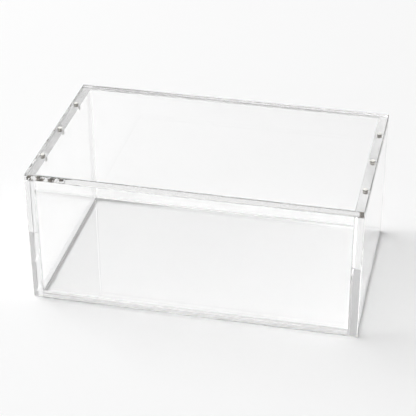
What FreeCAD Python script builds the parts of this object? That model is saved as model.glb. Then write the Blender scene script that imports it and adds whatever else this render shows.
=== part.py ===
import FreeCAD, Part
import os

# Clear acrylic display case: five bonded sheets make an open box, and a loose sheet is its lid.
# Pairs of small magnets in the lid and in the thick side walls hold the lid in place.
# Millimetres. X runs to the right along the front, Y to the back, Z up from the table.

# Driving sizes
inside_width = 256.0  # clear space between the side walls
inside_depth = 152.0  # clear space between the front and back panels
inside_height = 108.0  # clear space between the base and the lid
wall_thickness = 8.0  # side walls, thick enough to take a magnet in the top edge
panel_thickness = 5.0  # front and back panels
base_thickness = 5.0
lid_thickness = 5.0
edge_break = 0.4  # bevel left by polishing along each open edge
cement_film = 0.05  # between bonded sheets
lid_film = 0.05  # air left under the lid where it rests on the walls

# Magnets
magnet_diameter = 4.0
wall_magnet_length = 4.0
magnet_pitch = 46.0  # from one magnet to the next along a side wall
magnet_bevel = 0.2  # on both rims of a magnet
magnet_recess = 0.1  # how deep a magnet lies below the face that its pocket opens on
pocket_clearance = 0.05  # film of glue round a magnet and at the end of its pocket
lid_skin = 0.85  # clear sheet left above each magnet's pocket in the lid

# Sizes that follow
outer_width = inside_width + 2 * wall_thickness
outer_depth = inside_depth + 2 * panel_thickness
wall_height = base_thickness + inside_height
lid_underside = wall_height + lid_film
panel_width = inside_width - 2 * cement_film
panel_foot = base_thickness + cement_film
panel_middle = (inside_depth + panel_thickness) / 2
wall_middle = (inside_width + wall_thickness) / 2
magnet_radius = magnet_diameter / 2
pocket_radius = magnet_radius + pocket_clearance
wall_pocket_depth = magnet_recess + wall_magnet_length + pocket_clearance
lid_pocket_depth = lid_thickness - lid_skin
lid_magnet_length = lid_pocket_depth - magnet_recess - pocket_clearance

# Which way each side and each place along a side lies from the middle of the case
SIDES = {"left": -1, "right": 1}
PLACES = {"front": -1, "middle": 0, "back": 1}


def sheet(width, depth, height, x, y, z):
    """A rectangular sheet whose middle stands at x, y and whose underside is at z."""
    corner = FreeCAD.Vector(x - width / 2, y - depth / 2, z)
    return Part.makeBox(width, depth, height, corner)


def rod(radius, length, x, y, z):
    """An upright round bar standing on x, y, z."""
    return Part.makeCylinder(radius, length, FreeCAD.Vector(x, y, z))


def break_edges(solid, is_open):
    """Bevels each edge whose middle point passes the test."""
    edges = [edge for edge in solid.Edges if is_open(edge.BoundBox.Center)]
    return solid.makeChamfer(edge_break, edges)


def magnet_spots(side):
    """The place name and centre of each magnet along one side wall."""
    for place, step in PLACES.items():
        yield place, SIDES[side] * wall_middle, step * magnet_pitch


def make_base():
    """The floor, between the side walls; its lower front and back edges are open."""
    floor = sheet(panel_width, outer_depth, base_thickness, 0, 0, 0)
    return break_edges(floor, lambda at: at.z < edge_break and abs(at.y) > outer_depth / 2 - edge_break)


def make_side_wall(side):
    """A thick side wall with magnet pockets in its top edge; only its inner face keeps sharp edges."""
    wall = sheet(wall_thickness, outer_depth, wall_height, SIDES[side] * wall_middle, 0, 0)
    wall = break_edges(wall, lambda at: abs(at.x) > inside_width / 2 + edge_break)
    for place, x, y in magnet_spots(side):
        wall = wall.cut(rod(pocket_radius, wall_pocket_depth, x, y, wall_height - wall_pocket_depth))
    return wall


def make_upright_panel(direction):
    """The front (-1) or back (1) panel, which stands on the base; its top outer edge is open."""
    height = wall_height - panel_foot
    panel = sheet(panel_width, panel_thickness, height, 0, direction * panel_middle, panel_foot)
    top = wall_height - edge_break
    face = outer_depth / 2 - edge_break
    return break_edges(panel, lambda at: at.z > top and abs(at.y) > face)


def make_lid():
    """The lid, which covers the whole outline and has magnet pockets in its underside."""
    lid = sheet(outer_width, outer_depth, lid_thickness, 0, 0, lid_underside)
    lid = break_edges(lid, lambda at: True)
    for side in SIDES:
        for place, x, y in magnet_spots(side):
            lid = lid.cut(rod(pocket_radius, lid_pocket_depth, x, y, lid_underside))
    return lid


def make_magnet(length, x, y, z):
    """An upright round magnet standing on x, y, z, with both rims bevelled."""
    magnet = rod(magnet_radius, length, x, y, z)
    rims = [edge for edge in magnet.Edges if isinstance(edge.Curve, Part.Circle)]
    return magnet.makeChamfer(magnet_bevel, rims)


def make_wall_magnets(side):
    """One side wall's magnets, each bedded in glue on the floor of its pocket."""
    bottom = wall_height - magnet_recess - wall_magnet_length
    for place, x, y in magnet_spots(side):
        yield f"wall_magnet_{side}_{place}", make_magnet(wall_magnet_length, x, y, bottom)


def make_lid_magnets(side):
    """The lid's magnets over one side wall, each bedded in glue on the roof of its pocket."""
    bottom = lid_underside + magnet_recess
    for place, x, y in magnet_spots(side):
        yield f"lid_magnet_{side}_{place}", make_magnet(lid_magnet_length, x, y, bottom)


def all_pieces():
    """Every piece of the case by its name."""
    pieces = {"base_panel": make_base()}
    pieces["front_panel"] = make_upright_panel(-1)
    pieces["back_panel"] = make_upright_panel(1)
    pieces["lid_panel"] = make_lid()
    for side in SIDES:
        pieces[f"{side}_wall"] = make_side_wall(side)
        pieces.update(make_wall_magnets(side))
        pieces.update(make_lid_magnets(side))
    return pieces


os.makedirs("parts", exist_ok=True)
for name, solid in all_pieces().items():
    solid.exportStep(f"parts/{name}.step")
    print(f"{name}: {solid.Volume / 1000:.3f} cm3, valid {solid.isValid()}, solids {len(solid.Solids)}")
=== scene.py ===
import math

import bpy
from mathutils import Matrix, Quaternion, Vector


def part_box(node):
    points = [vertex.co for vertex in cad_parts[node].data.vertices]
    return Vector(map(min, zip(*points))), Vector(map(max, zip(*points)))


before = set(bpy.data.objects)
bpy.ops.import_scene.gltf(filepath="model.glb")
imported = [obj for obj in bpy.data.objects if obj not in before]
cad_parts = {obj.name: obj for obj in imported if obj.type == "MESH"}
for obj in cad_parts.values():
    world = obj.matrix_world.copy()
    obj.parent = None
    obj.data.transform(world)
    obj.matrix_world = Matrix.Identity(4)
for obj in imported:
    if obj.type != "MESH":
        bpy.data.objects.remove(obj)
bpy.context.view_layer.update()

# Lengths are metres and angles degrees, unless a comment says otherwise.

# Camera, from the photograph's perspective
CAMERA_AIM = Vector((-0.0039, -0.0025, 0.0564))
CAMERA_DISTANCE = 1.1954
CAMERA_AZIMUTH = 12.85
CAMERA_ELEVATION = 31.77
CAMERA_ROLL = -0.35
CAMERA_LENS = 122.3  # millimetres, as the sensor's width
SENSOR_WIDTH = 36.0
NEAREST_SEEN = 0.01

# Key light: a softbox at the left, by its direction and by how wide and high it looks from the case
KEY_AZIMUTH = -100.0
KEY_ELEVATION = 38.0
KEY_WIDTH = 40.0
KEY_HEIGHT = 18.0
KEY_BRIGHTNESS = 6.4
KEY_DISTANCE = 6.0

# Soft glows round the room: azimuth, elevation and spread, then brightness
ROOM_GLOWS = {
    "window": (-90.0, 50.0, 20.0, 2.8),
    "left_corner": (-140.0, 15.0, 22.0, 1.5),
    "back_wall": (155.0, 25.0, 20.0, 0.65),
    "front_wall": (-10.0, 20.0, 20.0, 1.6),
}
ROOM_DIM = 0.01  # brightness of the room away from the glows

# How many surfaces one path of light may meet
SHEET_BOUNCES = 48
GLOSS_BOUNCES = 24
GLUE_BOUNCES = 32

# Floor
FLOOR_DROP = 0.0002  # the thin air film under the case
FLOOR_SIZE = 12.0
FLOOR_DARK = 0.895
FLOOR_LIGHT = 0.905
FLOOR_CLOUDS = 4.0  # light and dark patches in a metre
FLOOR_ROUGHNESS = 0.6

# Clear acrylic
ACRYLIC_IOR = 1.49
ACRYLIC_LOSS = 0.5  # how fast light fades along a sheet, per metre, which greys the edges
FACE_WAVE = 2.0e-6  # height of the slow ripple in the cast faces
FACE_WAVES = 25.0  # ripples in a metre
CUT_STREAK = 2.0e-7  # height of the polishing streaks on the cut edges
STREAKS_ACROSS = 1500.0  # streaks in a metre, counted through the sheet's thickness
STREAKS_ALONG = 15.0  # and counted along its edge
STREAK_DETAIL = 3.0
STREAK_HARSHNESS = 0.6
CUT_ROUGHNESS = 0.01  # of the dullest streak

# Magnets
# Painted light and shade: the up-facing ends get a pale colour and the sides a dark one, standing
# in for light on the tops and shade on the sides.
MAGNET_END_PAINTED_LIGHT = (0.86, 0.84, 0.79, 1)
MAGNET_SIDE_PAINTED_SHADE = (0.3, 0.27, 0.24, 1)
MAGNET_GRAIN = 2500.0  # grains in a metre
GRAIN_DETAIL = 3.0
SMOOTH_GRAIN = 0.25  # roughness of the smoothest grain
DULL_GRAIN = 0.45  # and of the dullest

# Which way each clear sheet is thin: 0 is X, 1 is Y and 2 is Z
THIN_AXIS = {
    "base_panel": 2,
    "lid_panel": 2,
    "left_wall": 0,
    "right_wall": 0,
    "front_panel": 1,
    "back_panel": 1,
}
UP = 2

SIDE_LIMIT = 0.5  # a surface that faces an axis less than this is a side
NOISE_LOW = 0.3  # most of a noise's values lie from here
NOISE_HIGH = 0.7  # to here

# Where glue fills the pockets round the magnets
GLUE_SLACK = 0.0001
magnet_low, magnet_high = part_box("wall_magnet_right_middle")
GLUE_SIDE = (magnet_low.x + magnet_high.x) / 2
GLUE_RADIUS = (magnet_high.x - magnet_low.x) / 2 + GLUE_SLACK
GLUE_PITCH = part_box("wall_magnet_right_back")[0].y - magnet_low.y
GLUE_BOTTOM = magnet_low.z + GLUE_SLACK
GLUE_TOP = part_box("lid_magnet_right_middle")[1].z - GLUE_SLACK


class Nodes:
    """Adds shader nodes to one tree; an input is a plain value or another node's output."""

    def __init__(self, tree):
        self.tree = tree

    def add(self, kind, inputs=(), **settings):
        """A new node with its settings made and its inputs filled."""
        node = self.tree.nodes.new("ShaderNode" + kind)
        for name, value in settings.items():
            setattr(node, name, value)
        self.fill(node, inputs)
        return node

    def fill(self, node, inputs):
        """Links each output to its input, and sets the inputs that get a plain value."""
        for name, value in dict(inputs).items():
            if isinstance(value, bpy.types.NodeSocket):
                self.tree.links.new(value, node.inputs[name])
            else:
                node.inputs[name].default_value = value

    def place(self):
        """The point on the piece that is being shaded."""
        return self.add("TexCoord").outputs["Object"]

    def facing(self, axis):
        """How squarely the surface faces along an axis, either way: from 0 to 1."""
        normal = self.add("NewGeometry").outputs["True Normal"]
        return self.size(self.split(normal)[axis])

    def math(self, operation, first, second=0.0):
        """The result of one operation on numbers."""
        return self.add("Math", {0: first, 1: second}, operation=operation).outputs[0]

    def size(self, value):
        """A number without its sign."""
        return self.math("ABSOLUTE", value)

    def square(self, value):
        """A number times itself."""
        return self.math("MULTIPLY", value, value)

    def split(self, vector):
        """The three numbers of a vector."""
        return self.add("SeparateXYZ", {0: vector}).outputs

    def stretch(self, vector, amounts):
        """A vector with each of its numbers multiplied by its own amount."""
        return self.add("VectorMath", {0: vector, 1: amounts}, operation="MULTIPLY").outputs[0]

    def spread(self, noise, low, high):
        """A number that goes from low to high over a noise's usual range."""
        inputs = {0: noise, 1: NOISE_LOW, 2: NOISE_HIGH, 3: low, 4: high}
        return self.add("MapRange", inputs).outputs[0]

    def blend(self, share, first, second):
        """A number between two others, which a Mix node takes in its inputs 2 and 3."""
        return self.add("Mix", {0: share, 2: first, 3: second}).outputs[0]

    def tint(self, share, first, second):
        """A colour between two others, which a Mix node takes in its inputs 6 and 7."""
        return self.add("Mix", {0: share, 6: first, 7: second}, data_type="RGBA").outputs[2]

    def noise(self, vector, scale, detail=2.0, roughness=0.5):
        """Cloudy noise, mostly near the middle of 0 to 1."""
        inputs = {"Vector": vector, "Scale": scale, "Detail": detail, "Roughness": roughness}
        return self.add("TexNoise", inputs).outputs["Fac"]


def grey(tone):
    """A colour from 0, black, to 1, white."""
    return tone, tone, tone, 1


def new_material(name):
    """A node material with the maker of its nodes, and its Principled shader."""
    material = bpy.data.materials.new(name)
    material.use_nodes = True
    return material, Nodes(material.node_tree), material.node_tree.nodes["Principled BSDF"]


def glued(nodes, place):
    """1 on the round side of a magnet's pocket, where glue lets the magnet show, else 0."""
    x, y, z = nodes.split(place)
    across = nodes.math("SUBTRACT", nodes.size(x), GLUE_SIDE)
    along = nodes.math("PINGPONG", y, GLUE_PITCH / 2)
    distance_squared = nodes.math("ADD", nodes.square(across), nodes.square(along))
    near = nodes.math("LESS_THAN", distance_squared, GLUE_RADIUS ** 2)
    above = nodes.math("GREATER_THAN", z, GLUE_BOTTOM)
    below = nodes.math("LESS_THAN", z, GLUE_TOP)
    return nodes.math("MULTIPLY", near, nodes.math("MULTIPLY", above, below))


def clear_acrylic(axis):
    """Clear cast sheet, thin along one axis: rippled faces, streaked edges and glued pockets."""
    material, nodes, shader = new_material("clear_acrylic_" + "xyz"[axis])
    place = nodes.place()
    cut = nodes.math("LESS_THAN", nodes.facing(axis), SIDE_LIMIT)
    streak_counts = [STREAKS_ALONG] * 3
    streak_counts[axis] = STREAKS_ACROSS
    streak_place = nodes.stretch(place, streak_counts)
    streaks = nodes.noise(streak_place, 1.0, STREAK_DETAIL, STREAK_HARSHNESS)
    streak_height = nodes.math("MULTIPLY", streaks, CUT_STREAK)
    ripple_height = nodes.math("MULTIPLY", nodes.noise(place, FACE_WAVES), FACE_WAVE)
    height = nodes.blend(cut, ripple_height, streak_height)
    bump = nodes.add("Bump", {"Height": height, "Distance": 1.0})
    nodes.fill(shader, {
        "Base Color": grey(1.0),
        "Transmission Weight": 1.0,
        "IOR": ACRYLIC_IOR,
        "Roughness": nodes.math("MULTIPLY", cut, nodes.spread(streaks, 0.0, CUT_ROUGHNESS)),
        "Alpha": nodes.math("SUBTRACT", 1.0, glued(nodes, place)),
        "Normal": bump.outputs[0],
    })
    loss = nodes.add("VolumeAbsorption", {"Color": grey(0.0), "Density": ACRYLIC_LOSS})
    nodes.fill(material.node_tree.nodes["Material Output"], {"Volume": loss.outputs[0]})
    return material


def nickel_plate():
    """The small magnets' skin: pale satin ends and darker sides, a colour by facing that is painted
    light on the ends and painted shade on the sides.
    """
    material, nodes, shader = new_material("nickel_plate")
    painted_lit_end = nodes.math("GREATER_THAN", nodes.facing(UP), SIDE_LIMIT)
    grain = nodes.noise(nodes.place(), MAGNET_GRAIN, GRAIN_DETAIL)
    nodes.fill(shader, {
        # Painted light on the up-facing ends and painted shade on the sides, chosen by which way
        # each face points.
        "Base Color": nodes.tint(painted_lit_end, MAGNET_SIDE_PAINTED_SHADE, MAGNET_END_PAINTED_LIGHT),
        "Roughness": nodes.spread(grain, SMOOTH_GRAIN, DULL_GRAIN),
    })
    return material


def pale_floor():
    """Matt white studio table with a faint unevenness."""
    material, nodes, shader = new_material("pale_floor")
    cloud = nodes.noise(nodes.place(), FLOOR_CLOUDS)
    nodes.fill(shader, {
        "Base Color": nodes.tint(cloud, grey(FLOOR_DARK), grey(FLOOR_LIGHT)),
        "Roughness": FLOOR_ROUGHNESS,
        "Specular IOR Level": 0.0,
    })
    return material


def dress_cad_nodes():
    """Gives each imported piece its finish."""
    sheets = [clear_acrylic(axis) for axis in range(3)]
    plate = nickel_plate()
    for name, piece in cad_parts.items():
        piece.data.materials.clear()
        if name in THIN_AXIS:
            piece.data.materials.append(sheets[THIN_AXIS[name]])
        else:
            piece.data.materials.append(plate)


def add_floor():
    """A wide table just under the case."""
    bpy.ops.mesh.primitive_plane_add(size=FLOOR_SIZE, location=(0, 0, -FLOOR_DROP))
    table = bpy.context.object
    table.name = "studio_floor"
    table.data.materials.append(pale_floor())


def direction(azimuth, elevation):
    """Unit vector towards a place on the sky; azimuth 0 is the front and 90 the right."""
    turn = math.radians(azimuth)
    rise = math.radians(elevation)
    level = math.cos(rise)
    return Vector((math.sin(turn) * level, -math.cos(turn) * level, math.sin(rise)))


def facing_back(away):
    """The turn of a lamp or camera that lies away from what it faces."""
    return (-away).to_track_quat("-Z", "Y")


def add_object(name, data, location, turn):
    """Puts a lamp or camera into the scene."""
    holder = bpy.data.objects.new(name, data)
    bpy.context.scene.collection.objects.link(holder)
    holder.location = location
    holder.rotation_mode = "QUATERNION"
    holder.rotation_quaternion = turn
    return holder


def width_at(distance, angle):
    """How wide a thing is that fills an angle at a distance."""
    return 2 * distance * math.tan(math.radians(angle) / 2)


def add_key_light():
    """One softbox, as wide and high as its angles say, facing the case."""
    lamp = bpy.data.lights.new("key_softbox", "AREA")
    lamp.shape = "RECTANGLE"
    lamp.size = width_at(KEY_DISTANCE, KEY_WIDTH)
    lamp.size_y = width_at(KEY_DISTANCE, KEY_HEIGHT)
    lamp.energy = KEY_BRIGHTNESS * math.pi * lamp.size * lamp.size_y
    away = direction(KEY_AZIMUTH, KEY_ELEVATION)
    add_object("key_softbox", lamp, away * KEY_DISTANCE, facing_back(away))


def add_room():
    """The room's light: a few wide soft glows in a dim room."""
    room = bpy.data.worlds.new("studio_room")
    bpy.context.scene.world = room
    room.use_nodes = True
    nodes = Nodes(room.node_tree)
    looking = nodes.add("TexCoord").outputs["Generated"]
    total = ROOM_DIM
    for azimuth, elevation, spread, brightness in ROOM_GLOWS.values():
        towards = {0: looking, 1: direction(azimuth, elevation)}
        nearness = nodes.add("VectorMath", towards, operation="DOT_PRODUCT").outputs["Value"]
        short_by = nodes.math("SUBTRACT", nearness, 1.0)
        falloff = nodes.math("DIVIDE", short_by, math.radians(spread) ** 2)
        glow = nodes.math("MULTIPLY", nodes.math("EXPONENT", falloff), brightness)
        total = nodes.math("ADD", total, glow)
    nodes.fill(room.node_tree.nodes["Background"], {"Color": grey(1.0), "Strength": total})


def add_camera():
    """The photograph's camera."""
    data = bpy.data.cameras.new("photo_camera")
    data.sensor_width = SENSOR_WIDTH
    data.lens = CAMERA_LENS
    data.clip_start = NEAREST_SEEN
    away = direction(CAMERA_AZIMUTH, CAMERA_ELEVATION)
    location = CAMERA_AIM + away * CAMERA_DISTANCE
    roll = Quaternion((0, 0, 1), math.radians(CAMERA_ROLL))
    camera = add_object("photo_camera", data, location, facing_back(away) @ roll)
    bpy.context.scene.camera = camera


def set_light_paths():
    """Lets light follow the many inner reflections of clear sheet, with no tone curve on top."""
    scene = bpy.context.scene
    scene.cycles.max_bounces = SHEET_BOUNCES
    scene.cycles.transmission_bounces = SHEET_BOUNCES
    scene.cycles.glossy_bounces = GLOSS_BOUNCES
    scene.cycles.transparent_max_bounces = GLUE_BOUNCES
    scene.cycles.caustics_refractive = True
    scene.cycles.caustics_reflective = True
    scene.cycles.blur_glossy = 0.0
    scene.cycles.sample_clamp_indirect = 0.0
    scene.view_settings.view_transform = "Standard"


dress_cad_nodes()
add_floor()
add_key_light()
add_room()
add_camera()
set_light_paths()
